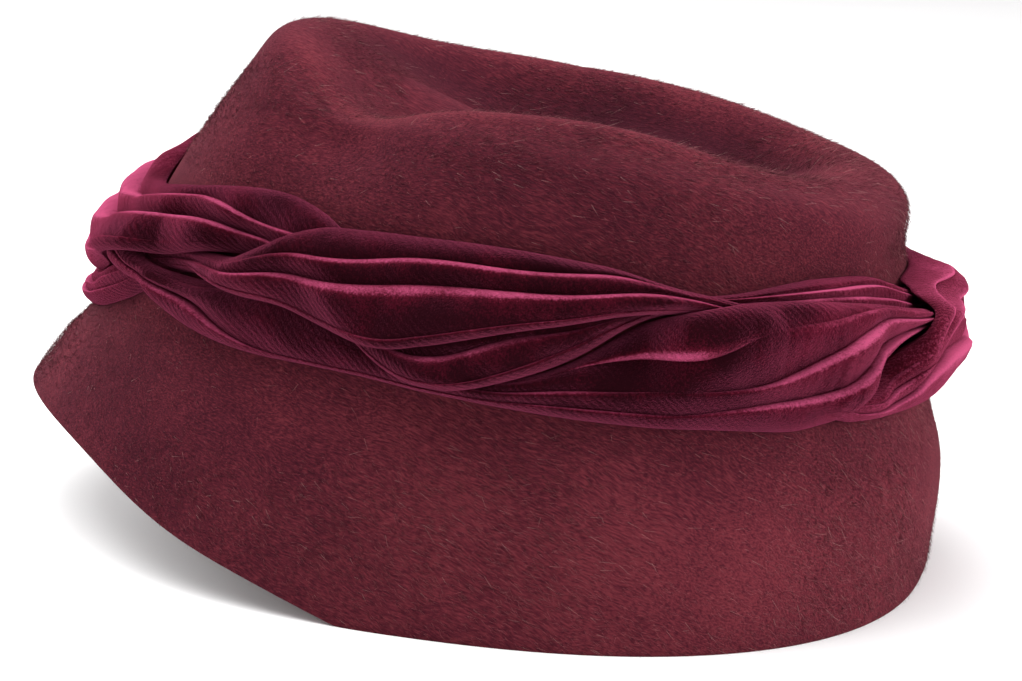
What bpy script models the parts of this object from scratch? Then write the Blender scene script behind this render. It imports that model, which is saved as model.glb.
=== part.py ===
"""A felt hat with a lengthwise dent in its crown, a deep turned-down brim and a loosely plaited velvet band.

Frame: metres, +Z up, the brim rests on Z = 0, the front looks to -Y and the wearer's left is +X.
Every ring of the hood and every point of the plait is found from an angle round the head,
0 at the front, 90 at the wearer's left, 180 at the back.
"""

import bpy
import numpy as np

# Sizes of the hat.
HAT_LENGTH = 0.244
HAT_WIDTH = 0.204
HAT_HEIGHT = 0.130
FELT = 0.0025
MIDDLE = -0.0067  # how far behind the middle of the head the middle of the hat's box lies
AIR = 0.0006  # gap kept between two pieces
BAND_PUFF = 0.0076  # thickness of a velvet bundle where it is BAND_NORMAL of the band's height wide
BAND_NORMAL = 0.30
BUNDLE_THIN = 0.0015  # thickness of the cloth where a bundle is gathered to a thread
FOLD_DEPTH = 0.30  # how far a fold of the velvet sinks, as a share of the bundle's thickness

# Mesh: stations round the head, shared by the hood and the plait.
STATIONS = 56

# The hood from brim edge to crown floor. front and back are shares of HAT_LENGTH, side of HAT_WIDTH,
# square_front and square_back the exponents of the oval, h_* shares of HAT_HEIGHT at five angles.
HOOD_COLUMNS = ("name", "front", "back", "side", "square_front", "square_back",
                "h_front", "h_45", "h_side", "h_135", "h_back")
HOOD = [
    ("edge",     0.543, 0.455, 0.501, 1.94, 2.4, 0.252, 0.210, -0.032, -0.080, -0.035),
    ("brim",     0.508, 0.459, 0.468, 2.03, 2.4, 0.342, 0.306, 0.213, 0.195, 0.192),
    ("foot",     0.465, 0.444, 0.420, 2.10, 2.3, 0.430, 0.443, 0.412, 0.372, 0.330),
    ("top",      0.356, 0.407, 0.382, 2.20, 2.3, 0.765, 0.763, 0.705, 0.640, 0.608),
    ("shoulder", 0.298, 0.404, 0.338, 2.20, 2.5, 0.929, 0.898, 0.838, 0.768, 0.722),
    ("crown",    0.270, 0.374, 0.284, 2.20, 2.5, 0.996, 0.946, 0.888, 0.808, 0.775),
    ("rim",      0.238, 0.328, 0.235, 2.20, 2.5, 0.999, 0.948, 0.902, 0.830, 0.794),
    ("inner",    0.190, 0.264, 0.167, 2.20, 2.4, 0.955, 0.880, 0.818, 0.770, 0.758),
    ("floor",    0.102, 0.146, 0.059, 2.20, 2.2, 0.855, 0.792, 0.738, 0.718, 0.724),
]
# Where the rings of the mesh lie, counted in rows of HOOD.
RINGS = (0, 0.33, 0.67, 1, 1.4, 1.8, 2.2, 2.6, 3, 3.3, 3.6, 3.85, 4.1, 4.35, 4.6, 4.8, 5, 5.2, 5.45,
         5.75, 6.1, 6.5, 7, 7.55)

# The finger dents on either side of the crown's front, how the near rim dips and rises behind its finger
# dent, and the brim's two front corners, which stand out: the middle as an angle and as a row of HOOD, the
# half size in both, and how far the felt goes in and down as a share of HAT_HEIGHT.
DENT_COLUMNS = ("angle", "row", "angle_size", "row_size", "inward", "down")
DENTS = [
    (66, 3.85, 15, 0.85, 0.052, 0.030),
    (-66, 3.85, 15, 0.85, 0.040, 0.012),
    (62, 5.6, 20, 1.30, 0.000, 0.066),
    (112, 5.7, 22, 1.20, 0.000, -0.014),
    (61, 0.0, 13, 0.80, -0.008, 0.020),
    (-61, 0.0, 13, 0.80, -0.008, 0.020),
]

# Each velvet bundle: its lower and upper edge as shares of the height from the row foot to the row top,
# and its thickness against that of the others.
BUNDLE_COLUMNS = ("angle", "low", "high", "puff")
BUNDLES = {
    "velvet_strand_1": [
        (0, -0.12, 0.15, 0.6), (18, -0.10, 0.17, 0.6), (30, 0.00, 0.27, 0.7), (40, 0.17, 0.43, 0.9),
        (48, 0.38, 0.50, 0.8), (55, 0.41, 0.53, 1.0), (60, 0.39, 0.54, 1.0), (64, 0.36, 0.57, 1.0),
        (68, 0.37, 0.67, 1.0), (72, 0.38, 0.79, 1.0), (76, 0.34, 0.87, 1.0), (82, 0.28, 0.92, 1.0),
        (87, 0.26, 0.94, 1.0), (92, 0.36, 0.97, 1.0), (99, 0.48, 0.99, 1.0), (106, 0.57, 0.99, 1.0),
        (112, 0.66, 0.98, 1.0), (118, 0.71, 0.91, 1.0), (124, 0.73, 0.87, 0.9), (130, 0.64, 0.82, 0.6),
        (136, 0.42, 0.68, 0.6), (142, 0.20, 0.46, 0.6), (148, 0.12, 0.28, 0.8), (154, 0.13, 0.31, 0.9),
        (159, 0.15, 0.44, 1.0), (165, 0.16, 0.66, 0.9), (174, 0.16, 0.66, 0.8), (187, 0.18, 0.76, 0.8),
        (200, 0.33, 0.80, 1.0), (212, 0.42, 0.88, 1.1), (225, 0.50, 0.99, 1.0), (240, 0.54, 1.02, 1.0),
        (255, 0.44, 0.92, 1.0), (268, 0.38, 0.74, 1.0), (280, 0.37, 0.64, 1.0), (288, 0.35, 0.62, 1.0),
        (296, 0.10, 0.54, 1.0), (305, -0.06, 0.42, 1.0), (320, -0.10, 0.36, 0.8), (340, -0.12, 0.28, 0.7),
    ],
    "velvet_strand_2": [
        (0, 0.20, 0.50, 0.4), (20, 0.24, 0.52, 0.4), (35, 0.32, 0.56, 0.5), (46, 0.25, 0.38, 0.8),
        (50, 0.17, 0.37, 1.0), (56, 0.10, 0.38, 1.0), (62, 0.06, 0.44, 1.0), (68, 0.05, 0.46, 0.9),
        (76, 0.07, 0.42, 0.8), (84, 0.07, 0.36, 0.7), (90, 0.04, 0.22, 0.6), (96, 0.02, 0.18, 0.6),
        (101, 0.01, 0.24, 0.7), (106, 0.00, 0.35, 0.9), (110, 0.00, 0.47, 1.0), (114, 0.00, 0.60, 1.1),
        (118, 0.00, 0.69, 1.2), (124, 0.02, 0.77, 1.3), (130, 0.03, 0.84, 1.4), (138, 0.04, 0.88, 1.4),
        (144, 0.11, 0.88, 1.4), (150, 0.30, 0.87, 1.3), (156, 0.48, 0.85, 1.2), (162, 0.58, 0.81, 1.1),
        (168, 0.62, 0.78, 0.9), (176, 0.48, 0.74, 0.6), (184, 0.26, 0.56, 0.5), (194, 0.00, 0.42, 0.8),
        (206, -0.08, 0.40, 1.0), (218, -0.04, 0.46, 1.1), (232, 0.10, 0.62, 1.1), (245, 0.28, 0.76, 1.0),
        (256, 0.46, 0.90, 0.9), (268, 0.60, 0.99, 1.0), (280, 0.67, 1.03, 1.0), (295, 0.60, 1.05, 1.0),
        (310, 0.48, 0.94, 0.8), (322, 0.36, 0.80, 0.6), (340, 0.26, 0.62, 0.5),
    ],
    "velvet_strand_3": [
        (3, 0.18, 0.92, 1.1), (12, 0.16, 0.84, 1.5), (20, 0.16, 0.72, 1.4), (31, 0.25, 0.75, 1.0),
        (44, 0.39, 0.83, 1.0), (53, 0.50, 0.91, 1.2), (60, 0.57, 0.98, 1.1), (66, 0.60, 1.00, 1.0),
        (72, 0.54, 0.95, 0.9),
        (78, 0.44, 0.82, 0.6), (83, 0.25, 0.62, 0.6), (88, 0.09, 0.44, 0.8), (92, 0.05, 0.44, 1.0),
        (98, 0.18, 0.52, 1.0), (103, 0.29, 0.60, 0.9), (108, 0.42, 0.66, 0.8), (112, 0.56, 0.72, 0.8),
        (116, 0.67, 0.78, 0.8), (120, 0.72, 0.82, 0.8), (126, 0.75, 0.87, 0.9), (130, 0.76, 0.90, 0.9),
        (134, 0.77, 0.94, 1.0), (140, 0.76, 1.01, 1.1), (145, 0.74, 1.06, 1.1), (154, 0.72, 1.08, 1.1),
        (160, 0.70, 1.06, 1.0), (166, 0.70, 1.05, 1.1), (174, 0.66, 1.04, 1.2), (182, 0.62, 0.98, 1.0),
        (190, 0.60, 0.92, 0.9), (202, 0.40, 0.82, 0.8), (214, 0.20, 0.68, 0.8), (228, -0.02, 0.50, 0.9),
        (242, -0.08, 0.44, 1.0), (260, -0.08, 0.38, 1.0), (275, -0.04, 0.33, 1.0), (288, 0.00, 0.32, 1.0),
        (299, 0.14, 0.56, 1.0), (310, 0.26, 0.74, 1.0), (322, 0.36, 0.84, 1.0), (338, 0.34, 0.98, 0.9),
        (352, 0.24, 1.00, 0.8),
    ],
}
# Which bundle is lowest, middle and uppermost from each angle on. It changes only where the two lie side by side.
ORDER_COLUMNS = ("angle", "lowest", "middle", "uppermost")
ORDER = [
    (0, 1, 2, 3), (55, 2, 1, 3), (62, 2, 3, 1), (113, 3, 1, 2), (156, 3, 2, 1), (280, 1, 2, 3),
]
# The valleys between the folds of each bundle, from -1 at its lower edge to 1 at its upper edge.
FOLD_COLUMNS = ("angle", "valley_1", "valley_2", "valley_3")
FOLDS = {
    "velvet_strand_1": [
        (40, -0.50, 0.05, 0.55), (76, -0.45, 0.12, 0.64), (112, -0.35, 0.20, 0.62), (160, -0.45, 0.05, 0.50),
        (187, -0.30, 0.22, 0.66), (240, -0.50, -0.05, 0.50), (300, -0.40, 0.10, 0.60),
    ],
    "velvet_strand_2": [
        (50, -0.40, 0.15, 0.60), (84, -0.45, 0.05, 0.55), (102, -0.45, 0.30, 0.70), (119, -0.70, 0.06, 0.66),
        (130, -0.45, 0.08, 0.72), (138, -0.10, 0.30, 0.74), (148, 0.10, 0.50, 0.80), (165, -0.30, 0.20, 0.60),
        (230, -0.50, 0.00, 0.50), (300, -0.40, 0.10, 0.60),
    ],
    "velvet_strand_3": [
        (5, -0.45, 0.10, 0.62), (47, -0.55, 0.40, 0.80), (58, -0.50, 0.18, 0.62), (68, -0.40, 0.02, 0.45),
        (100, -0.30, 0.20, 0.60), (140, -0.35, 0.10, 0.55), (175, -0.40, 0.15, 0.60), (240, -0.50, 0.00, 0.50),
        (320, -0.40, 0.05, 0.55),
    ],
}

FELT_COLOUR = (0.085, 0.018, 0.024, 1.0)
VELVET_COLOUR = (0.160, 0.018, 0.050, 1.0)


def column(table, names, wanted):
    return np.array([row[names.index(wanted)] for row in table], float)


def ring_points(row, theta):
    """One row of HOOD as points round the head."""
    at = dict(zip(HOOD_COLUMNS, row))
    turn = np.radians(theta)
    ahead = np.cos(turn) > 0
    power = 2 / np.where(ahead, at["square_front"], at["square_back"])
    reach = np.where(ahead, at["front"], at["back"]) * HAT_LENGTH
    x = at["side"] * HAT_WIDTH * np.sign(np.sin(turn)) * np.abs(np.sin(turn)) ** power
    y = -reach * np.sign(np.cos(turn)) * np.abs(np.cos(turn)) ** power
    # A cosine series of five terms passes through the five heights and is alike on both sides.
    five = np.radians(np.arange(5) * 45.0)
    terms = np.linalg.solve(np.cos(np.outer(five, np.arange(5))), np.array(row[-5:], float))
    z = np.cos(turn[..., None] * np.arange(5)) @ terms * HAT_HEIGHT
    return np.stack([x, y, np.maximum(z, 0.0)], -1)


def hood_points(theta, level):
    """The outer felt surface at angles theta (n) and levels (n, m), counted in rows of HOOD."""
    rings = np.array([ring_points(row, theta) for row in HOOD])
    rings = np.concatenate([2 * rings[:1] - rings[1:2], rings, 2 * rings[-1:] - rings[-2:-1]])
    base = np.clip(np.floor(level).astype(int), 0, len(HOOD) - 2)
    t = (level - base)[..., None]
    n = np.arange(len(theta))[:, None]
    a, b, c, d = (rings[base + k, n] for k in range(4))
    points = 0.5 * (2 * b + (c - a) * t + (2 * a - 5 * b + 4 * c - d) * t ** 2 + (3 * b - a - 3 * c + d) * t ** 3)
    for angle, row, angle_size, row_size, inward, down in DENTS:
        away = (theta[:, None] - angle + 180) % 360 - 180
        depth = np.exp(-(away / angle_size) ** 2 - ((level - row) / row_size) ** 2) * HAT_HEIGHT
        points = points - depth[..., None] * (
            inward * np.array([np.sin(np.radians(angle)), -np.cos(np.radians(angle)), 0.0])
            + down * np.array([0.0, 0.0, 1.0]))
    points[..., 2] = np.maximum(points[..., 2], 0.0)
    return points


def hood_normals(theta, level):
    """Outward unit normals of the outer felt surface."""
    along = hood_points(theta + 0.5, level) - hood_points(theta - 0.5, level)
    up = hood_points(theta, level + 0.02) - hood_points(theta, level - 0.02)
    normal = np.cross(along, up)
    return normal / np.linalg.norm(normal, axis=-1, keepdims=True)


def grid_faces(rows, columns, first, outward=True):
    """Quads of a grid whose columns close into a ring."""
    i, j = np.meshgrid(np.arange(rows - 1), np.arange(columns), indexing="ij")
    k = (j + 1) % columns
    quads = np.stack([i * columns + j, i * columns + k, (i + 1) * columns + k, (i + 1) * columns + j], -1)
    quads = quads.reshape(-1, 4) + first
    return quads if outward else quads[:, ::-1]


def add_piece(name, points, faces, colour, roughness):
    mesh = bpy.data.meshes.new(name)
    points = points - np.array([0.0, MIDDLE, 0.0])
    mesh.from_pydata(points.tolist(), [], [tuple(int(v) for v in face) for face in faces])
    material = bpy.data.materials.new(name)
    material.use_nodes = True
    shader = material.node_tree.nodes["Principled BSDF"]
    shader.inputs["Base Color"].default_value = colour
    shader.inputs["Roughness"].default_value = roughness
    shader.inputs["Metallic"].default_value = 0.0
    mesh.materials.append(material)
    piece = bpy.data.objects.new(name, mesh)
    bpy.context.scene.collection.objects.link(piece)
    return piece


def build_hood(theta):
    """The hood as one shell: the outer grid, the inner grid a felt's thickness inside, and the cut edge."""
    n, m = len(theta), len(RINGS)
    level = np.tile(np.array(RINGS, float), (n, 1))
    outer = hood_points(theta, level)
    normal = hood_normals(theta, np.clip(level, 0.02, None))
    inner = outer - normal * FELT
    level_in = normal[:, 0] * np.array([1.0, 1.0, 0.0])
    inner[:, 0] = outer[:, 0] - level_in / np.linalg.norm(level_in, axis=-1, keepdims=True) * FELT
    outer, inner = outer.transpose(1, 0, 2), inner.transpose(1, 0, 2)
    top = outer[-1].mean(0)
    points = np.concatenate([outer.reshape(-1, 3), inner.reshape(-1, 3), [top, top - [0, 0, FELT]]])
    j = np.arange(n)
    k = (j + 1) % n
    second = n * m
    edge = np.stack([second + j, second + k, k, j], -1)
    crown = np.stack([second - n + j, second - n + k, np.full(n, 2 * second)], -1)
    lining = np.stack([2 * second - n + k, 2 * second - n + j, np.full(n, 2 * second + 1)], -1)
    faces = [*grid_faces(m, n, 0), *grid_faces(m, n, second, False), *edge, *crown, *lining]
    return add_piece("felt_hood", points, faces, FELT_COLOUR, 0.9)


def along_band(table, names, wanted, theta):
    """A column of a station table at the angles theta, its corners eased over a few degrees."""
    at, value = column(table, names, "angle"), column(table, names, wanted)
    shifts = np.array([-3.0, -1.0, 1.0, 3.0])
    return np.interp(theta[:, None] + shifts, at, value, period=360).mean(1)


def bundle_section(name, theta):
    """Where the points across each section lie, as shares of the band's height, and how thick the bundle is there."""
    low, high, puff = (along_band(BUNDLES[name], BUNDLE_COLUMNS, c, theta) for c in ("low", "high", "puff"))
    valleys = [along_band(FOLDS[name], FOLD_COLUMNS, c, theta) for c in FOLD_COLUMNS[1:]]
    bounds = np.stack([-np.ones(len(theta)), *valleys, np.ones(len(theta))], -1)
    inside = np.array([0.0, 0.3, 0.7])
    across = (bounds[:, :-1, None] + np.diff(bounds)[:, :, None] * inside).reshape(len(theta), -1)
    across = np.concatenate([across, bounds[:, -1:]], 1)
    sunk = np.tile(inside == 0, 4)
    width = high - low
    height = HAT_HEIGHT * 0.3
    thick = np.minimum(BAND_PUFF * (BAND_NORMAL / width) ** 0.35, BUNDLE_THIN + width * height) * puff
    lens = np.clip(1 - np.abs(across) ** 2.4, 0, None) ** 0.6
    lens[:, :-1] *= 1 - FOLD_DEPTH * sunk
    share = low[:, None] + (across + 1) / 2 * width[:, None]
    return share, thick[:, None] * lens


def widest(values, reach):
    """The largest of each value and its neighbours on the grid across the band."""
    padded = np.pad(values, ((0, 0), (reach, reach)))
    return np.max([padded[:, k:k + values.shape[1]] for k in range(2 * reach + 1)], axis=0)


def taut(heights, places):
    """The lowest bulging line over heights at places, as cloth pulled tight over what lies under it."""
    count = heights.shape[1]
    best = heights.copy()
    for a in range(count):
        for b in range(a + 1, count):
            part = (places[:, a:b + 1] - places[:, a:a + 1]) / (places[:, b:b + 1] - places[:, a:a + 1])
            line = heights[:, a:a + 1] * (1 - part) + heights[:, b:b + 1] * part
            best[:, a:b + 1] = np.maximum(best[:, a:b + 1], line)
    return best


def lay_bundles(theta):
    """Lays the bundles on each other in the order of ORDER: returns share, underside and upper side of each."""
    names = list(BUNDLES)
    sections = [bundle_section(name, theta) for name in names]
    spans = np.searchsorted(column(ORDER, ORDER_COLUMNS, "angle"), theta % 360, side="right") - 1
    rank = np.array([[ORDER[span][1:].index(k + 1) for k in range(3)] for span in spans])
    grid = np.linspace(-0.4, 1.5, 191)
    under = [np.zeros_like(share[:, ::2]) for share, _ in sections]
    upper = [thick.copy() for _, thick in sections]
    for _ in range(4):
        covers = []
        for (share, _), top in zip(sections, upper):
            cover = np.array([np.interp(grid, s, t, left=0, right=0) for s, t in zip(share, top)])
            covers.append(widest(cover + np.where(cover > 0, AIR, 0), 5))
        for k, (share, thick) in enumerate(sections):
            support = np.zeros_like(covers[0])
            for j in range(3):
                beneath = rank[:, [j]] < rank[:, [k]]
                cover = np.where(beneath, covers[j], 0)
                cover = np.maximum(cover, np.maximum(np.roll(cover, 1, 0), np.roll(cover, -1, 0)))
                support = np.maximum(support, np.where(beneath, cover, 0))
            places = share[:, ::2]
            heights = np.array([np.interp(p, grid, s) for p, s in zip(places, support)])
            under[k] = heights
            pulled = taut(heights, places)
            upper[k] = thick + np.array([np.interp(s, p, u) for s, p, u in zip(share, places, pulled)])
    return [(names[k], sections[k][0], under[k], upper[k]) for k in range(3)]


def build_bundle(name, theta, share, under, upper):
    """One bundle as a closed ring: its upper side, then its underside backwards."""
    def place(shares, height):
        level = 2 + shares
        return hood_points(theta, level) + hood_normals(theta, level) * (AIR + height)[..., None]
    top, bottom = place(share, upper), place(share[:, ::2], under)[:, 1:-1]
    loop = np.concatenate([top, bottom[:, ::-1]], 1)
    points = loop.transpose(1, 0, 2)
    rows, n = points.shape[:2]
    points = np.concatenate([points, points[:1]]).reshape(-1, 3)
    faces = grid_faces(rows + 1, n, 0) % (rows * n)
    return add_piece(name, points[:rows * n], faces, VELVET_COLOUR, 0.8)


for leftover in list(bpy.data.objects):
    bpy.data.objects.remove(leftover)

stations = np.arange(STATIONS) * 360.0 / STATIONS
build_hood(stations)
for bundle in lay_bundles(stations):
    build_bundle(bundle[0], stations, *bundle[1:])
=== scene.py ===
"""The looks of a felt hat with a loosely plaited velvet band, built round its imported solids.

Metres, +Z up, the brim rests on Z = 0, the front looks to -Y and the wearer's left is +X.
Every point of the felt and the velvet is a function of an angle round the head (0 at the front, 90 at
the wearer's left, 180 at the back) and a level up the hat, counted in rows of a short table. Each row is
an oval; between rows a point runs along the smooth cubic through four neighbouring rows.
"""

import bpy
import numpy as np
from mathutils import Matrix, Vector


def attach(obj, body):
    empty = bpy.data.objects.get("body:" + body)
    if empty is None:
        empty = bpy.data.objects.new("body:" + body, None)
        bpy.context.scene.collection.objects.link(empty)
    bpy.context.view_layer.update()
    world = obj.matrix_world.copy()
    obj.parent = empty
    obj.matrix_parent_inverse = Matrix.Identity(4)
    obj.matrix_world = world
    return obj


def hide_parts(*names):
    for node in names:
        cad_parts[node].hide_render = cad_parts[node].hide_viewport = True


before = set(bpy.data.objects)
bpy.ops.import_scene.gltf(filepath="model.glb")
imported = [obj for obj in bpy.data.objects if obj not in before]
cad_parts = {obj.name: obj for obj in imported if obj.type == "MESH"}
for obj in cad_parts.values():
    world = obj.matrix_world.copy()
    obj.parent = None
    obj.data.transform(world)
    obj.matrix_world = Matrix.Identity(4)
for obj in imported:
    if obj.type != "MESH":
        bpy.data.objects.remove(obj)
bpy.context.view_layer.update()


# Felt hood: one piece of fur felt, steamed and pulled over a block, then dented by hand along the top
# and pinched at both front corners. The brim is turned down and cut raw. The outer face is brushed up
# into a hairy nap, and the inner face is plain smooth felt.
HAT_LENGTH = 0.244
HAT_WIDTH = 0.204
HAT_HEIGHT = 0.130
FELT = 0.0025
HEAD_BACK = 0.0067  # how far the middle of the head lies behind the middle of the hat

# Reaches to the front and back are shares of the length, to the side of the width, heights of the height.
# The two square columns are the powers of the oval: 2 is an ellipse, more is squarer.
HOOD_COLUMNS = ("name", "front", "back", "side", "square_front", "square_back",
                "h_front", "h_45", "h_side", "h_135", "h_back")
HOOD = [
    ("edge",     0.543, 0.455, 0.501, 1.94, 2.4, 0.252, 0.210, -0.032, -0.080, -0.035),
    ("brim",     0.508, 0.459, 0.468, 2.03, 2.4, 0.342, 0.306, 0.213, 0.195, 0.192),
    ("foot",     0.465, 0.444, 0.420, 2.10, 2.3, 0.430, 0.443, 0.412, 0.372, 0.330),
    ("top",      0.356, 0.407, 0.382, 2.20, 2.3, 0.765, 0.763, 0.705, 0.640, 0.608),
    ("shoulder", 0.298, 0.404, 0.338, 2.20, 2.5, 0.929, 0.898, 0.838, 0.768, 0.722),
    ("crown",    0.270, 0.374, 0.284, 2.20, 2.5, 0.996, 0.946, 0.888, 0.808, 0.775),
    ("rim",      0.238, 0.328, 0.235, 2.20, 2.5, 0.999, 0.948, 0.902, 0.830, 0.794),
    ("inner",    0.190, 0.264, 0.167, 2.20, 2.4, 0.955, 0.880, 0.818, 0.770, 0.758),
    ("floor",    0.102, 0.146, 0.059, 2.20, 2.2, 0.855, 0.792, 0.738, 0.718, 0.724),
]
HOOD_TOP = 7.55  # the last level, where the dent's floor closes
HOOD_STATIONS = 320  # points round the head
HOOD_RINGS = 150  # points from the brim's edge to the dent's floor
INNER_EVERY = 3  # the smooth inner face has one ring for so many of the outer face
WAVES = 0.00035  # how far the hand-blocked felt waves in and out

# Dents: the angle and level of each bell, its size both ways, and how far it is pressed toward the middle
# and down, as shares of the height.
DENTS = [
    (66, 3.85, 15, 0.85, 0.052, 0.030),
    (-66, 3.85, 15, 0.85, 0.040, 0.012),
    (62, 5.6, 20, 1.30, 0.000, 0.066),
    (112, 5.7, 22, 1.20, 0.000, -0.014),
    (61, 0.0, 13, 0.80, -0.008, 0.020),
    (-61, 0.0, 13, 0.80, -0.008, 0.020),
]


def column(table, names, wanted):
    """One named column of a table as an array."""
    return np.array([row[names.index(wanted)] for row in table], float)


def ring_points(row, theta):
    """One row of HOOD: a superellipse, with a height that is a cosine series of the angle. The series has
    five terms, which meet the row's five heights, 45 degrees apart from the front to the back."""
    at = dict(zip(HOOD_COLUMNS, row))
    turn = np.radians(theta)
    ahead = np.cos(turn) > 0
    power = 2 / np.where(ahead, at["square_front"], at["square_back"])
    reach = np.where(ahead, at["front"], at["back"]) * HAT_LENGTH
    x = at["side"] * HAT_WIDTH * np.sign(np.sin(turn)) * np.abs(np.sin(turn)) ** power
    y = -reach * np.sign(np.cos(turn)) * np.abs(np.cos(turn)) ** power
    term = np.arange(5)
    given = np.radians(term * 45.0)
    series = np.linalg.solve(np.cos(np.outer(given, term)), np.array(row[-len(term):], float))
    z = np.cos(turn[..., None] * term) @ series * HAT_HEIGHT
    return np.stack([x, y + HEAD_BACK, np.maximum(z, 0.0)], -1)


def angle_from(theta, angle):
    """How far the angles theta lie from one angle, the short way round, between -180 and 180."""
    return (theta[:, None] - angle + 180) % 360 - 180


def bell(away, angle_size, rise, row_size):
    """A bell round the head and up the hat: e to the minus square of each distance in its own size."""
    return np.exp(-(away / angle_size) ** 2 - (rise / row_size) ** 2)


def hood_points(theta, level):
    """The outer felt face: at each angle the smooth cubic through four rows, pressed in by each bell of
    DENTS. No point goes below the floor."""
    rings = np.array([ring_points(row, theta) for row in HOOD])
    rings = np.concatenate([2 * rings[:1] - rings[1:2], rings, 2 * rings[-1:] - rings[-2:-1]])
    base = np.clip(np.floor(level).astype(int), 0, len(HOOD) - 2)
    t = (level - base)[..., None]
    n = np.arange(len(theta))[:, None]
    a, b, c, d = (rings[base + k, n] for k in range(4))
    points = 0.5 * (2 * b + (c - a) * t + (2 * a - 5 * b + 4 * c - d) * t ** 2
                    + (3 * b - a - 3 * c + d) * t ** 3)
    for angle, row, angle_size, row_size, inward, down in DENTS:
        depth = bell(angle_from(theta, angle), angle_size, level - row, row_size) * HAT_HEIGHT
        points = points - depth[..., None] * (
            inward * np.array([np.sin(np.radians(angle)), -np.cos(np.radians(angle)), 0.0])
            + down * np.array([0.0, 0.0, 1.0]))
    points[..., 2] = np.maximum(points[..., 2], 0.0)
    return points


def hood_normals(theta, level):
    """Outward unit normals: the cross product of small steps round the head and up the hat."""
    turn_step, level_step = 0.2, 0.01
    along = hood_points(theta + turn_step, level) - hood_points(theta - turn_step, level)
    up = hood_points(theta, level + level_step) - hood_points(theta, level - level_step)
    normal = np.cross(along, up)
    return normal / np.linalg.norm(normal, axis=-1, keepdims=True)


def waves(theta, level, seed, count=14, most=9):
    """A smooth random height between about -1 and 1: the sum of count seeded sines, each with fewer than
    most waves round the head and a slow rise or fall up the hat."""
    random = np.random.default_rng(seed)
    slow, fast, whole_turn = 0.6, 2.6, 6.28
    total = np.zeros(level.shape)
    for _ in range(count):
        waves_round = random.integers(1, most)
        waves_up = random.uniform(slow, fast)
        phase = random.uniform(0, whole_turn)
        slant = waves_up * level * random.choice([-1, 1])
        total += np.sin(waves_round * np.radians(theta)[:, None] + slant + phase)
    return total / np.sqrt(count)


def ring_faces(rows, columns, first=0, outward=True):
    """Quads of a grid of points whose columns close into a ring: each point, the next in its row, and the
    two above them. They are turned round where the grid faces inwards."""
    i, j = np.meshgrid(np.arange(rows - 1), np.arange(columns), indexing="ij")
    k = (j + 1) % columns
    quads = np.stack([i * columns + j, i * columns + k, (i + 1) * columns + k, (i + 1) * columns + j], -1)
    quads = quads.reshape(-1, 4) + first
    return quads if outward else quads[:, ::-1]


def make_piece(name, points, faces, material, attributes=()):
    """A smooth mesh object in place, from arrays of points and faces and the named numbers on its points."""
    mesh = bpy.data.meshes.new(name)
    corners = np.concatenate([face.reshape(-1) for face in faces])
    sizes = np.concatenate([np.full(len(face), face.shape[1]) for face in faces])
    mesh.vertices.add(len(points))
    mesh.vertices.foreach_set("co", points.astype(np.float32).reshape(-1))
    mesh.loops.add(len(corners))
    mesh.loops.foreach_set("vertex_index", corners.astype(np.int32))
    mesh.polygons.add(len(sizes))
    mesh.polygons.foreach_set("loop_start", np.concatenate([[0], np.cumsum(sizes)[:-1]]).astype(np.int32))
    mesh.polygons.foreach_set("use_smooth", np.ones(len(sizes), bool))
    for label, values in attributes:
        mesh.attributes.new(label, "FLOAT", "POINT").data.foreach_set("value", values.astype(np.float32))
    mesh.update(calc_edges=True)
    mesh.materials.append(material)
    piece = bpy.data.objects.new(name, mesh)
    bpy.context.scene.collection.objects.link(piece)
    return piece


def node(tree, kind, inputs=(), **settings):
    """Adds a node, sets its properties, and fills its inputs with values or with other nodes' outputs."""
    made = tree.nodes.new(kind)
    for key, value in settings.items():
        setattr(made, key, value)
    for key, value in dict(inputs).items():
        if isinstance(value, bpy.types.NodeSocket):
            tree.links.new(value, made.inputs[key])
        else:
            made.inputs[key].default_value = value
    return made


def math_node(tree, kind, *values):
    """The result of one Math node."""
    return node(tree, "ShaderNodeMath", dict(enumerate(values)), operation=kind).outputs[0]


def mix_in(tree, parts, base=0.0):
    """A weighted sum: base and each (value, share) of parts, one after the other."""
    total = base
    for value, share in parts:
        total = math_node(tree, "MULTIPLY_ADD", value, share, total)
    return total


def noise(tree, place, scale, detail=2.0, rough=0.5, wanted="Fac"):
    """A noise texture at a place, with so many blots to a metre."""
    return node(tree, "ShaderNodeTexNoise", {
        "Vector": place, "Scale": scale, "Detail": detail, "Roughness": rough}).outputs[wanted]


BRUSH_TURN = 20  # degrees that the brushed streaks fall toward the back
BRUSH_DRIFT = 0.005  # how far the streaks wander
BRUSH_STRETCH = 0.16  # width of a streak as a share of its length
DRIFTS = 55.0  # drifts, streaks, locks and patches to a metre
STREAKS = 2600.0
LOCKS = 900.0
PATCHES = 38.0


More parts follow.
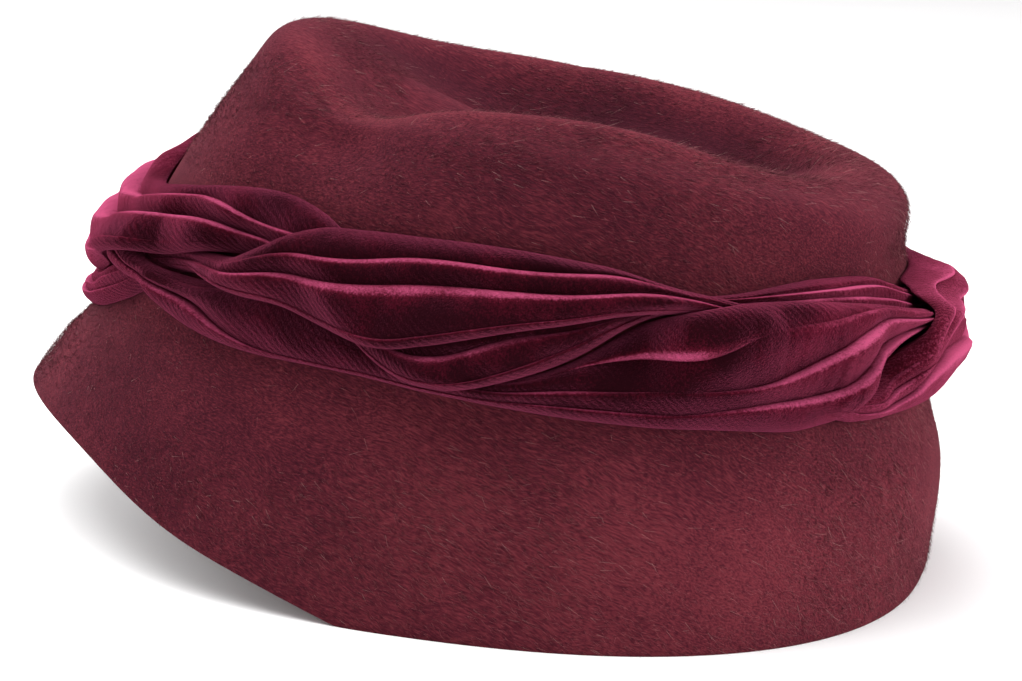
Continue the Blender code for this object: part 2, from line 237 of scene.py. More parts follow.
def nap_group():
    """Group "brushed nap": streaks of hair and soft patches in object space, drawn out along the way the
    felt was brushed, which is back and down. Puts out the patches, the streaks and a height."""
    group = bpy.data.node_groups.new("brushed nap", "ShaderNodeTree")
    for label in ("Patch", "Streak", "Height"):
        group.interface.new_socket(name=label, in_out="OUTPUT", socket_type="NodeSocketFloat")
    place = node(group, "ShaderNodeTexCoord").outputs["Object"]
    turned = node(group, "ShaderNodeMapping", {
        "Vector": place, "Rotation": (np.radians(BRUSH_TURN), 0.0, 0.0)}).outputs[0]
    drift = noise(group, place, DRIFTS, wanted="Color")
    bent = node(group, "ShaderNodeVectorMath", {0: drift, 1: (BRUSH_DRIFT,) * 3},
                operation="MULTIPLY").outputs[0]
    drawn = node(group, "ShaderNodeVectorMath", {0: turned, 1: bent}, operation="ADD").outputs[0]
    drawn = node(group, "ShaderNodeMapping", {
        "Vector": drawn, "Scale": (1.0, BRUSH_STRETCH, 1.0)}).outputs[0]
    streak = noise(group, drawn, STREAKS, 3.0, 0.65)
    lock = noise(group, drawn, LOCKS)
    patch = noise(group, place, PATCHES, 4.0, 0.6)
    height = math_node(group, "ADD", streak, lock)
    out = node(group, "NodeGroupOutput")
    for label, value in (("Patch", patch), ("Streak", streak), ("Height", height)):
        group.links.new(value, out.inputs[label])
    return group


def ramp(tree, value, stops):
    """A colour ramp through (place, colour) stops."""
    made = node(tree, "ShaderNodeValToRGB", {"Fac": value})
    elements = made.color_ramp.elements
    while len(elements) < len(stops):
        elements.new(0.5)
    for element, (place, colour) in zip(elements, stops):
        element.position = place
        element.color = (*colour, 1.0)
    return made.outputs["Color"]


FELT_DARK = (0.040, 0.0072, 0.0135)
FELT_MIDDLE = (0.083, 0.0128, 0.0215)
FELT_RED = (0.156, 0.0265, 0.0365)
FELT_STOPS = [(0.33, FELT_DARK), (0.47, FELT_MIDDLE), (0.61, FELT_RED)]
FELT_SHEEN = (0.95, 0.30, 0.38, 1.0)
STREAK_SHARE = 0.70  # how much of the felt's tone comes from the streaks, and how much from the patches
PATCH_SHARE = 0.24
NAP_STANDS = 0.0006  # how far the streaks stand up

brushed_nap = nap_group()


def felt_material():
    """Dark oxblood felt: patches and streaks mix its three reds, painted light and shade brighten or darken
    it in places, and the streaks stand up a little.
    """
    material = bpy.data.materials.new("felt")
    material.use_nodes = True
    tree = material.node_tree
    nap = node(tree, "ShaderNodeGroup", node_tree=brushed_nap)
    painted_light = node(tree, "ShaderNodeAttribute", attribute_name="painted_light").outputs["Fac"]
    # Painted light and shade from the attribute shift the tone of the felt.
    tone = mix_in(tree, [(nap.outputs["Streak"], STREAK_SHARE), (nap.outputs["Patch"], PATCH_SHARE)], painted_light)
    shader = tree.nodes["Principled BSDF"]
    tree.links.new(ramp(tree, tone, FELT_STOPS), shader.inputs["Base Color"])
    shader.inputs["Roughness"].default_value = 0.95
    shader.inputs["Specular IOR Level"].default_value = 0.02
    shader.inputs["Sheen Weight"].default_value = 0.08
    shader.inputs["Sheen Roughness"].default_value = 0.40
    shader.inputs["Sheen Tint"].default_value = FELT_SHEEN
    relief = node(tree, "ShaderNodeBump", {
        "Height": nap.outputs["Height"], "Strength": 0.5, "Distance": NAP_STANDS})
    tree.links.new(relief.outputs["Normal"], shader.inputs["Normal"])
    return material


# Bells of painted light and shade on the felt: it is made paler where light falls and darker where shade
# falls, as down in the dent. Angle, level, size both ways, and how much lighter.
PAINTED_LIGHT_BELLS = [
    (56, 3.6, 12, 0.8, 0.04), (75, 5.6, 55, 0.4, 0.07), (70, 3.9, 60, 0.9, -0.05), (125, 0.6, 60, 1.0, 0.08),
    (45, 1.0, 30, 1.8, -0.06), (-110, 5.7, 70, 0.7, 0.07), (-100, 7.0, 100, 0.6, -0.14),
]


def painted_light_and_shade(theta, level):
    """Painted light and shade on the felt, as how much brighter it is made: the sum of the bells."""
    total = np.zeros(level.shape)
    for angle, row, angle_size, row_size, lighter in PAINTED_LIGHT_BELLS:
        total += lighter * bell(angle_from(theta, angle), angle_size, level - row, row_size)
    return total


EDGE_FADE = 0.5  # levels over which the waves of the felt fade toward its cut edge
UNDER_BAND = (2.5, 0.5)  # middle and half height, in levels, of the stretch that the band holds flat
BAND_FADE = 0.4  # levels over which the waves grow again beyond it


def build_hood():
    """The outer face with its waves, the inner face a felt's thickness inside it along the normals, the
    cut edge that joins them, and a fan that closes the dent's floor."""
    theta = np.arange(HOOD_STATIONS) * 360.0 / HOOD_STATIONS
    level = np.tile(np.linspace(0, HOOD_TOP, HOOD_RINGS), (HOOD_STATIONS, 1))
    outer = hood_points(theta, level)
    just_above_edge = 0.02
    normal = hood_normals(theta, np.maximum(level, just_above_edge))
    sideways = normal[:, 0] * np.array([1.0, 1.0, 0.0])
    normal[:, 0] = sideways / np.linalg.norm(sideways, axis=-1, keepdims=True)
    inner = (outer - normal * FELT)[:, ::INNER_EVERY]
    beyond_band = np.abs(level - UNDER_BAND[0]) - UNDER_BAND[1]
    free = np.clip(level / EDGE_FADE, 0, 1) * np.clip(beyond_band, 0, BAND_FADE) / BAND_FADE
    outer = outer + normal * (free * waves(theta, level, seed=3) * WAVES)[..., None]
    outer, inner = outer.transpose(1, 0, 2), inner.transpose(1, 0, 2)
    middle = outer[-1].mean(0)
    centres = [middle, middle - [0, 0, FELT]]
    points = np.concatenate([outer.reshape(-1, 3), inner.reshape(-1, 3), centres])
    n, j = HOOD_STATIONS, np.arange(HOOD_STATIONS)
    k = (j + 1) % n
    second, last = outer.shape[0] * n, len(points) - 2
    edge = np.stack([second + j, second + k, k, j], -1)
    crown = np.stack([second - n + j, second - n + k, np.full(n, last)], -1)
    below = np.stack([last - n + k, last - n + j, np.full(n, last + 1)], -1)
    faces = [ring_faces(outer.shape[0], n), ring_faces(inner.shape[0], n, second, False), edge, crown, below]
    # Painted light and shade for the outer face; the inner face gets none.
    painted_light = np.concatenate([painted_light_and_shade(theta, level).T.reshape(-1), np.zeros(inner.shape[0] * n + 2)])
    return make_piece("felt_body", points, faces, felt_material(), [("painted_light", painted_light)])


hood = build_hood()
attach(hood, "root")
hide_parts("felt_hood")


# Nap: the long hairs of the fur felt, rooted in its outer face. They lie back and down as the brush left
# them and stand up a little everywhere. A few are bleached, and longer and thinner than the rest.
NAP_LEAN = 0.42  # how far a hair rises against its length
NAP_LENGTH = 0.0022
NAP_HALF_WIDTH = 0.00006
NAP_ROOT = 0.0002  # how deep a hair's foot sits in the felt
BRUSHED = np.array([0.0, 1.0, -0.45])  # back and down
BRUSH_SPREAD = 0.33
LEAN_SPREAD = (0.4, 1.7)  # least and most, as shares of the lean and of the length
LENGTH_SPREAD = (0.5, 1.3)
HAIR_TONE = (0.45, 0.22)  # mean and spread of the place on the ramp of hair colours
# The bells of painted light and shade count several times over on the hairs.
PAINTED_LIGHT_ON_HAIR = 3.0  # how many times more the bells of PAINTED_LIGHT_BELLS change a hair than the felt
DARK_HAIRS_END = 0.9  # only bleached hairs go beyond this place on the ramp
BLEACHED = 0.011  # share of hairs that are bleached, longer and thinner
BLEACHED_LENGTH = 2.0
BLEACHED_WIDTH = 0.7
HAIR_STOPS = [(0.0, FELT_DARK), (0.5, FELT_MIDDLE), (DARK_HAIRS_END, (0.24, 0.075, 0.085)),
              (1.0, (0.36, 0.20, 0.19))]
# Each piece of nap: its lowest and highest level, how many hairs, and the seed.
HAIRS = [("felt_nap_brim", 0.03, 2.15, 49000, 11), ("felt_nap_crown", 2.9, HOOD_TOP, 49500, 12)]


def hair_spikes(roots, way, length, half_width):
    """Closed three-sided spikes: a small triangle round each root and one point at the tip."""
    way = way / np.linalg.norm(way, axis=1, keepdims=True)
    any_other_way = [0.31, 0.52, 0.79]
    side = np.cross(way, any_other_way)
    side /= np.linalg.norm(side, axis=1, keepdims=True)
    other = np.cross(way, side)
    thirds = np.radians([0.0, 120.0, 240.0])
    foot = [roots + half_width[:, None] * (side * np.cos(a) + other * np.sin(a)) for a in thirds]
    points = np.stack([*foot, roots + way * length[:, None]], 1)
    corners = np.array([[0, 1, 3], [1, 2, 3], [2, 0, 3], [2, 1, 0]])
    faces = corners[None] + 4 * np.arange(len(roots))[:, None, None]
    return points.reshape(-1, 3), faces.reshape(-1, 3)


def scattered(lowest, highest, count, random):
    """Random angles and levels, even over the felt: a cell of a grid is picked as often as its area is
    large, and a point anywhere in it."""
    turn_step, rings = 2.0, 160
    theta = np.arange(0, 360, turn_step)
    level = np.tile(np.linspace(lowest, highest, rings), (len(theta), 1))
    grid = hood_points(theta, level)
    along = np.linalg.norm(np.roll(grid, -1, 0) - grid, axis=-1)[:, :-1]
    up = np.linalg.norm(np.diff(grid, axis=1), axis=-1)
    chance = (along * up).reshape(-1)
    picked = random.choice(chance.size, count, p=chance / chance.sum())
    i, j = np.divmod(picked, level.shape[1] - 1)
    step = level[0, 1] - level[0, 0]
    angle = theta[i] + random.uniform(0, turn_step, count)
    return angle, level[0, j] + random.uniform(0, step, count)


def nap_material():
    """The felt's own reds by each hair's shade, and a few hairs bleached."""
    material = bpy.data.materials.new("felt hair")
    material.use_nodes = True
    tree = material.node_tree
    shade = node(tree, "ShaderNodeAttribute", attribute_name="shade").outputs["Fac"]
    shader = tree.nodes["Principled BSDF"]
    tree.links.new(ramp(tree, shade, HAIR_STOPS), shader.inputs["Base Color"])
    shader.inputs["Roughness"].default_value = 0.8
    shader.inputs["Specular IOR Level"].default_value = 0.08
    shader.inputs["Sheen Weight"].default_value = 0.12
    shader.inputs["Sheen Tint"].default_value = FELT_SHEEN
    return material


felt_hair = nap_material()
for name, lowest, highest, count, seed in HAIRS:
    random = np.random.default_rng(seed)
    theta, level = scattered(lowest, highest, count, random)
    order = np.argsort(theta)
    theta, level = theta[order], level[order]
    roots = hood_points(theta, level[:, None])[:, 0]
    normal = hood_normals(theta, level[:, None])[:, 0]
    brush = BRUSHED + random.normal(0, BRUSH_SPREAD, (count, 3))
    flat = brush - normal * (brush * normal).sum(1, keepdims=True)
    flat /= np.linalg.norm(flat, axis=1, keepdims=True)
    lean = NAP_LEAN * random.uniform(*LEAN_SPREAD, count)
    way = flat + normal * lean[:, None]
    length = NAP_LENGTH * random.uniform(*LENGTH_SPREAD, count)
    # Painted light and shade, stronger on the hairs than on the felt.
    lighter = PAINTED_LIGHT_ON_HAIR * painted_light_and_shade(theta, level[:, None])[:, 0]
    shade = np.clip(random.normal(*HAIR_TONE, count) + lighter, 0, DARK_HAIRS_END)
    pale = random.random(count) < BLEACHED
    length[pale] *= BLEACHED_LENGTH
    shade[pale] = 1.0
    half_width = np.where(pale, BLEACHED_WIDTH, 1.0) * NAP_HALF_WIDTH
    points, faces = hair_spikes(roots - normal * NAP_ROOT, way, length, half_width)
    points[:, 2] = np.maximum(points[:, 2], 0)
    nap = make_piece(name, points, [faces], felt_hair, [("shade", np.repeat(shade, 4))])
    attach(nap, "root")


# Velvet band: three loose lengths of crimson silk velvet, each folded lengthwise into a soft bundle,
# laid round the foot of the crown and plaited over and under one another.
AIR = 0.0006  # gap between the felt and the velvet, and between its lengths
BAND_FOOT = 2  # the level of the band's foot: its heights are shares of the way to the next row
BAND_HEIGHT = HAT_HEIGHT * 0.3  # about the way from the foot to the next row
BAND_PUFF = 0.0076  # thickness of a bundle where it is BAND_NORMAL of the band's height wide
BAND_NORMAL = 0.30
BUNDLE_THIN = 0.0015  # thickness of the cloth where a bundle is gathered to a thread
PUFF_FALL = 0.35  # the power by which a wider bundle is flatter
LENS_POWER = 2.6  # the power of a bundle's lens: 2 is an ellipse, more is flatter with rounder edges
FOLD_DEPTH = 0.44  # how far a valley of depth 1 sinks, as a share of the bundle's thickness
FOLD_DEEPEST = 1.8  # where two valleys meet they sink no deeper than this
FOLD_LIP = 0.26  # how wide the lip is that laps over a valley, as a share of its fold
FOLD_SLOPE = 1.6  # the power of the slope on a valley's other side
FOLD_SWAY = (0.03, (9, 13, 17))  # how far the valleys sway, and how many sways each has round the head
STRAND_STATIONS = 1080
FOLD_POINTS = 12
UNDER_EVERY = 3  # the underside has one line of points for so many of the upper side

# Lower and upper edge as shares of the band's height, and how puffed up the bundle is.
BUNDLE_COLUMNS = ("angle", "low", "high", "puff")
BUNDLES = {
    "velvet_strand_1": [
        (0, -0.12, 0.15, 0.6), (18, -0.10, 0.17, 0.6), (30, 0.00, 0.27, 0.7), (40, 0.17, 0.43, 0.9),
        (48, 0.38, 0.50, 0.8), (55, 0.41, 0.53, 1.0), (60, 0.39, 0.54, 1.0), (64, 0.36, 0.57, 1.0),
        (68, 0.37, 0.67, 1.0), (72, 0.38, 0.79, 1.0), (76, 0.34, 0.87, 1.0), (82, 0.28, 0.92, 1.0),
        (87, 0.26, 0.94, 1.0), (92, 0.36, 0.97, 1.0), (99, 0.48, 0.99, 1.0), (106, 0.57, 0.99, 1.0),
        (112, 0.66, 0.98, 1.0), (118, 0.71, 0.91, 1.0), (124, 0.73, 0.87, 0.9), (130, 0.64, 0.82, 0.6),
        (136, 0.42, 0.68, 0.6), (142, 0.20, 0.46, 0.6), (148, 0.12, 0.28, 0.8), (154, 0.13, 0.31, 0.9),
        (159, 0.15, 0.46, 1.0), (165, 0.16, 0.72, 1.0), (171, 0.16, 0.92, 1.3), (178, 0.16, 0.99, 1.6),
        (190, 0.20, 0.98, 1.5), (200, 0.33, 0.90, 1.2), (212, 0.42, 0.88, 1.1), (225, 0.50, 0.99, 1.0),
        (240, 0.54, 1.02, 1.0), (255, 0.44, 0.92, 1.0), (268, 0.38, 0.74, 1.0), (280, 0.37, 0.64, 1.0),
        (288, 0.35, 0.62, 1.0), (296, 0.10, 0.54, 1.0), (305, -0.06, 0.42, 1.0), (320, -0.10, 0.36, 0.8),
        (340, -0.12, 0.28, 0.7),
    ],
    "velvet_strand_2": [
        (0, 0.20, 0.50, 0.4), (20, 0.24, 0.52, 0.4), (35, 0.32, 0.56, 0.5), (46, 0.25, 0.38, 0.8),
        (50, 0.17, 0.37, 1.0), (56, 0.10, 0.38, 1.0), (62, 0.06, 0.44, 1.0), (68, 0.05, 0.46, 0.9),
        (76, 0.07, 0.42, 0.8), (84, 0.07, 0.36, 0.7), (90, 0.04, 0.22, 0.6), (96, 0.02, 0.18, 0.6),
        (101, 0.01, 0.24, 0.7), (106, 0.00, 0.35, 0.9), (110, 0.00, 0.47, 1.0), (114, 0.00, 0.60, 1.1),
        (118, 0.00, 0.69, 1.2), (124, 0.02, 0.77, 1.3), (130, 0.03, 0.84, 1.4), (138, 0.04, 0.88, 1.4),
        (144, 0.11, 0.88, 1.4), (150, 0.30, 0.87, 1.3), (156, 0.48, 0.85, 1.2), (162, 0.58, 0.81, 1.1),
        (168, 0.62, 0.78, 0.7), (176, 0.48, 0.74, 0.5), (184, 0.26, 0.56, 0.5), (194, 0.00, 0.42, 0.8),
        (206, -0.08, 0.40, 1.0), (218, -0.04, 0.46, 1.1), (232, 0.10, 0.62, 1.1), (245, 0.28, 0.76, 1.0),
        (256, 0.46, 0.90, 0.9), (268, 0.60, 0.99, 1.0), (280, 0.67, 1.03, 1.0), (295, 0.60, 1.05, 1.0),
        (310, 0.48, 0.94, 0.8), (322, 0.36, 0.80, 0.6), (340, 0.26, 0.62, 0.5),
    ],
    "velvet_strand_3": [
        (3, 0.18, 0.92, 1.1), (12, 0.16, 0.84, 1.5), (20, 0.16, 0.72, 1.4), (31, 0.25, 0.75, 1.0),
        (44, 0.39, 0.83, 1.0), (53, 0.50, 0.91, 1.2), (60, 0.57, 0.98, 1.1), (66, 0.60, 1.00, 1.0),
        (72, 0.54, 0.95, 0.9), (78, 0.44, 0.82, 0.6), (83, 0.25, 0.62, 0.6), (88, 0.09, 0.44, 0.8),
        (92, 0.05, 0.44, 1.0), (98, 0.18, 0.52, 1.0), (103, 0.29, 0.60, 0.9), (108, 0.42, 0.66, 0.8),
        (112, 0.56, 0.72, 0.8), (116, 0.67, 0.78, 0.8), (120, 0.72, 0.82, 0.8), (126, 0.75, 0.87, 0.9),
        (130, 0.76, 0.90, 0.9), (134, 0.77, 0.95, 1.0), (140, 0.76, 1.03, 1.1), (145, 0.74, 1.09, 1.2),
        (154, 0.72, 1.13, 1.2), (160, 0.68, 1.12, 1.0), (166, 0.64, 1.02, 0.8), (174, 0.60, 0.90, 0.6),
        (182, 0.56, 0.86, 0.6), (190, 0.60, 0.92, 0.9), (202, 0.40, 0.82, 0.8), (214, 0.20, 0.68, 0.8),
        (228, -0.02, 0.50, 0.9), (242, -0.08, 0.44, 1.0), (260, -0.08, 0.38, 1.0), (275, -0.04, 0.33, 1.0),
        (288, 0.00, 0.32, 1.0), (299, 0.14, 0.56, 1.0), (310, 0.26, 0.74, 1.0), (322, 0.36, 0.84, 1.0),
        (338, 0.34, 0.98, 0.9), (352, 0.24, 1.00, 0.8),
    ],
}
# Which bundle is lowest, middle and uppermost from each angle on.
ORDER_COLUMNS = ("angle", "lowest", "middle", "uppermost")
ORDER = [
    (0, 1, 2, 3), (55, 2, 1, 3), (62, 2, 3, 1), (113, 3, 1, 2), (156, 3, 2, 1), (280, 1, 2, 3),
]
# The valleys between the folds of each bundle: where each lies, from -1 at the bundle's lower edge to 1
# at its upper edge, and how deep it is. The fold below a valley laps over it, or with a negative depth
# the fold above.
FOLD_COLUMNS = ("angle", "valley_1", "deep_1", "valley_2", "deep_2", "valley_3", "deep_3")
FOLDS = {
    "velvet_strand_1": [
        (0, -0.35, 1.5, 0.25, 1.3, 0.75, 0.5), (30, -0.50, 0.8, 0.05, 1.2, 0.60, 0.4),
        (42, -0.60, 0.3, 0.00, 0.6, 0.60, 0.2), (60, -0.60, 0.2, -0.05, 0.5, 0.50, 0.2),
        (68, -0.80, 0.4, -0.13, 1.0, 0.40, 0.2), (76, -0.82, 0.5, -0.16, 1.4, 0.28, 1.0),
        (87, -0.84, 0.5, 0.09, 1.1, 0.54, 1.0), (99, -0.84, 0.5, -0.10, 1.0, 0.45, 1.0),
        (106, -0.82, 0.5, -0.14, 0.9, 0.48, 1.0), (112, -0.80, 0.4, -0.12, 0.9, 0.60, 1.0),
        (118, -0.70, 0.2, 0.20, 0.9, 0.75, 0.4), (130, -0.50, 0.4, 0.10, 0.4, 0.60, 0.2),
        (154, -0.40, 0.6, 0.20, 0.3, 0.70, 0.0), (160, -0.45, 1.0, 0.15, 0.9, 0.62, 0.6),
        (168, -0.30, 1.2, 0.28, -1.0, 0.68, -1.3), (176, -0.25, 1.2, 0.30, -1.0, 0.70, -1.2),
        (187, -0.35, 1.1, 0.20, -0.9, 0.64, -0.9),
        (205, -0.30, 0.9, 0.15, 0.8, 0.60, 0.5), (240, -0.50, 0.7, -0.05, 1.0, 0.50, 0.6),
        (270, -0.70, 0.4, 0.10, 1.0, 0.55, 0.4), (300, -0.40, 0.8, 0.10, 0.8, 0.60, 0.4),
    ],
    "velvet_strand_2": [
        (20, -0.50, 0.3, 0.10, 0.5, 0.60, 0.2), (50, 0.10, 0.8, 0.40, 0.0, 0.70, 0.0),
        (56, 0.10, 1.4, 0.40, 0.0, 0.70, 0.2), (62, -0.47, 1.3, 0.30, 0.1, 0.70, 0.2),
        (68, -0.80, 0.8, 0.20, 0.1, 0.75, 0.2), (80, -0.82, 0.5, 0.20, 0.1, 0.85, 0.3),
        (94, -0.70, 0.5, 0.00, 0.4, 0.70, 0.3), (102, -0.50, 0.7, 0.20, 0.9, 0.80, 0.3),
        (106, -0.55, 0.8, 0.10, 0.8, 0.80, -0.5), (112, -0.65, 0.7, -0.20, 0.3, 0.44, -1.0),
        (120, -0.72, 0.6, -0.35, 0.1, 0.23, -1.1), (124, -0.68, 0.7, -0.35, 0.4, 0.22, -0.6),
        (130, -0.60, 0.9, -0.28, 0.9, 0.45, 0.0), (140, -0.46, 1.2, 0.08, 1.1, 0.66, 0.3),
        (147, -0.40, 1.3, 0.29, 1.1, 0.78, 0.4), (154, -0.25, 1.2, 0.55, 0.8, 0.86, 0.2),
        (165, -0.30, 0.8, 0.20, 0.5, 0.60, 0.2), (194, -0.50, 0.6, 0.00, 0.8, 0.60, 0.3),
        (230, -0.55, 0.8, -0.05, 1.1, 0.50, 0.6), (262, -0.60, 0.6, 0.15, 0.9, 0.65, 0.6),
        (300, -0.40, 0.8, 0.10, 1.0, 0.60, 0.7), (330, -0.50, 0.4, 0.10, 0.6, 0.60, 0.3),
    ],
    "velvet_strand_3": [
        (5, -0.45, 1.2, 0.05, 1.6, 0.52, 1.6), (20, -0.70, 0.5, 0.04, 1.7, 0.56, 1.6),
        (40, -0.70, 0.4, 0.02, 1.7, 0.58, 1.4), (50, -0.78, 0.2, 0.02, 1.7, 0.58, 1.4),
        (56, -0.86, 0.0, -0.20, 1.6, 0.36, 1.2), (60, -0.90, 0.0, -0.47, 1.4, 0.00, 1.0),
        (66, -0.90, 0.0, -0.62, 1.1, -0.25, 1.0), (72, -0.85, 0.1, -0.50, 0.8, 0.05, 0.7),
        (80, -0.80, 0.3, -0.30, 0.4, 0.30, 0.2), (88, -0.80, 0.4, -0.10, 0.8, 0.50, 0.1),
        (93, -0.80, 0.5, 0.18, 1.1, 0.65, 0.1), (98, -0.70, 0.5, 0.50, 0.7, 0.80, 0.1),
        (110, -0.30, 0.3, 0.20, 0.2, 0.60, 0.1), (126, -0.50, 0.4, 0.10, 0.5, 0.60, 0.2),
        (136, -0.60, 0.4, 0.00, 0.6, 0.45, 0.8), (147, -0.65, 0.4, 0.00, 0.5, 0.45, 1.0),
        (157, -0.60, 0.6, 0.00, 0.7, 0.55, 1.0), (168, -0.40, 1.2, 0.15, 0.8, 0.60, 0.8),
        (180, -0.40, 1.0, 0.15, 1.0, 0.60, 0.6), (205, -0.50, 0.6, 0.10, 0.9, 0.60, 0.6),
        (240, -0.55, 0.6, 0.00, 1.1, 0.50, 0.6), (285, -0.60, 0.6, 0.05, 0.8, 0.60, 0.5),
        (320, -0.50, 0.9, 0.05, 1.2, 0.55, 1.0),
    ],
}
# Painted sheen where the lengths turn round the front and the back and face away from the eye: angle,
# spread, how pale.
PAINTED_SHEEN_TURNS = [(5, 26, 0.52), (182, 26, 0.52), (150, 14, 0.22)]
CRUMPLE = 0.00045  # how far the faces of the folds bulge and sink at random
CRUMPLE_ACROSS = 9  # how many times faster they change across the band than the waves of the felt
VELVET_DEEP = (0.018, 0.0028, 0.0052)
VELVET_MIDDLE = (0.088, 0.0062, 0.0160)
VELVET_LIGHT = (0.520, 0.0800, 0.1850)
# The palest stop is reached mostly where the highlight is painted.
VELVET_STOPS = [(0.46, VELVET_DEEP), (0.70, VELVET_MIDDLE), (1.0, VELVET_LIGHT)]
VELVET_SHEEN = (1.0, 0.16, 0.35, 1.0)
ROWS_SCALE = 285.4545  # of the Wave texture, whose rows then lie about 1.6 mm apart
PILE_BLOTS = 1900.0  # blots of the pile, and of crushed patches, to a metre
CRUSHED_BLOTS = 70.0
PILE_STANDS = 0.0006
ROW_STANDS = 0.16  # how far the rows stand up against the pile
TONE_BASE = -0.21  # the velvet's tone: a base, and a share of each pattern that mixes in
# The first share is the painted highlight on the crests and at the turns.
TONE_SHARES = {"painted_velvet_highlight": 0.45, "crushed": 0.50, "pile": 0.80, "rows": 0.03}


def along_band(table, names, wanted, theta):
    """A column of a station table at the angles theta: straight between stations, its corners eased by a
    weighted mean over a few degrees."""
    at, value = column(table, names, "angle"), column(table, names, wanted)
    reach, count, fade = 4.5, 13, 5
    shifts = np.linspace(-reach, reach, count)
    weights = np.cos(shifts / fade * np.pi / 2) ** 2
    return np.interp(theta[:, None] + shifts, at, value, period=360) @ weights / weights.sum()


def painted_highlight_on_fold(away):
    """Painted highlight on a fold, by the distance from the valley in widths of the lip: a bell on the lip
    and a wider one that fades down the face of the fold."""
    on_lip, lip_at, lip_spread = 0.70, 0.4, 0.40
    on_face, face_spread = 0.30, 1.6
    return (on_lip * np.exp(-((away - lip_at) / lip_spread) ** 2)
            + on_face * np.exp(-(away / face_spread) ** 2))


def bundle_section(name, theta):
    """Across each section: the place of every point as a share of the band's height, the thickness there,
    and the painted highlight on the folds and at the turns. The section is a lens. Each valley sinks into
    it: on the side of the fold that laps over it as a quarter circle, the lip, and on the other side as a
    long flat slope."""
    low, high, puff = (along_band(BUNDLES[name], BUNDLE_COLUMNS, c, theta) for c in ("low", "high", "puff"))
    fold = {c: along_band(FOLDS[name], FOLD_COLUMNS, c, theta) for c in FOLD_COLUMNS[1:]}
    edge, flat = np.ones(len(theta)), np.zeros(len(theta))
    sway = FOLD_SWAY[0] * np.stack([np.sin(np.radians(theta) * k + k * k) for k in FOLD_SWAY[1]])
    valleys = [fold[f"valley_{k}"] + sway[k - 1] for k in (1, 2, 3)]
    depths = [flat, *(fold[f"deep_{k}"] for k in (1, 2, 3)), flat]
    bounds = np.stack([-edge, *valleys, edge], -1)
    inside = (1 - np.cos(np.arange(FOLD_POINTS) * np.pi / FOLD_POINTS)) / 2
    across = (bounds[:, :-1, None] + np.diff(bounds)[:, :, None] * inside).reshape(len(theta), -1)
    across = np.concatenate([across, bounds[:, -1:]], 1)
    sunk, painted_highlight = [], []
    for k in range(4):
        below, above = depths[k][:, None], depths[k + 1][:, None]
        near_lower, near_upper = np.minimum(inside / FOLD_LIP, 1), np.minimum((1 - inside) / FOLD_LIP, 1)
        slope_up, slope_down = (1 - inside) ** FOLD_SLOPE, inside ** FOLD_SLOPE
        arc_up, arc_down = (1 - np.sqrt(1 - (1 - near) ** 2) for near in (near_lower, near_upper))
        sunk.append(np.abs(below) * np.where(below < 0, arc_up, slope_up)
                    + np.abs(above) * np.where(above > 0, arc_down, slope_down))
        # Painted highlight on the lip that laps over each valley, fading down the fold's face.
        painted_highlight.append(np.clip(-below, 0, 1) * painted_highlight_on_fold(inside / FOLD_LIP)
                   + np.clip(above, 0, 1) * painted_highlight_on_fold((1 - inside) / FOLD_LIP))
    sunk, painted_highlight = (np.concatenate([*part, flat[:, None]], 1) for part in (sunk, painted_highlight))
    # Painted sheen at the turns of the lengths.
    for angle, spread, paler in PAINTED_SHEEN_TURNS:
        painted_highlight += paler * np.exp(-(angle_from(theta, angle) / spread) ** 2)
    lens = np.clip(1 - np.abs(across) ** LENS_POWER, 0, None) ** 0.5
    width = high - low
    puffed, gathered = BAND_PUFF * (BAND_NORMAL / width) ** PUFF_FALL, BUNDLE_THIN + width * BAND_HEIGHT
    thick = np.minimum(puffed, gathered) * puff
    share = low[:, None] + (across + 1) / 2 * width[:, None]
    seed = sum(map(ord, name))
    bulge = waves(theta, share * CRUMPLE_ACROSS, seed, count=24, most=40) * CRUMPLE * lens
    thickness = thick[:, None] * lens * (1 - FOLD_DEPTH * np.minimum(sunk, FOLD_DEEPEST)) + bulge
    return share, np.maximum(thickness, 0), painted_highlight


def widest(values, reach):
    """The largest of each value and its neighbours on the grid across the band."""
    padded = np.pad(values, ((0, 0), (reach, reach)))
    return np.max([padded[:, k:k + values.shape[1]] for k in range(2 * reach + 1)], axis=0)


def taut(heights, places):
    """The lowest line that bulges outwards over heights at places, as cloth pulled tight over what lies
    under it: at each place, the highest of all straight lines between two of the heights."""
    count = heights.shape[1]
    best = heights.copy()
    for a in range(count):
        for b in range(a + 1, count):
            part = (places[:, a:b + 1] - places[:, a:a + 1]) / (places[:, b:b + 1] - places[:, a:a + 1])
            line = heights[:, a:a + 1] * (1 - part) + heights[:, b:b + 1] * part
            best[:, a:b + 1] = np.maximum(best[:, a:b + 1], line)
    return best


def eased_round(values, reach):
    """The mean of each value and its neighbours round the head."""
    return np.mean([np.roll(values, k, 0) for k in range(-reach, reach + 1)], axis=0)


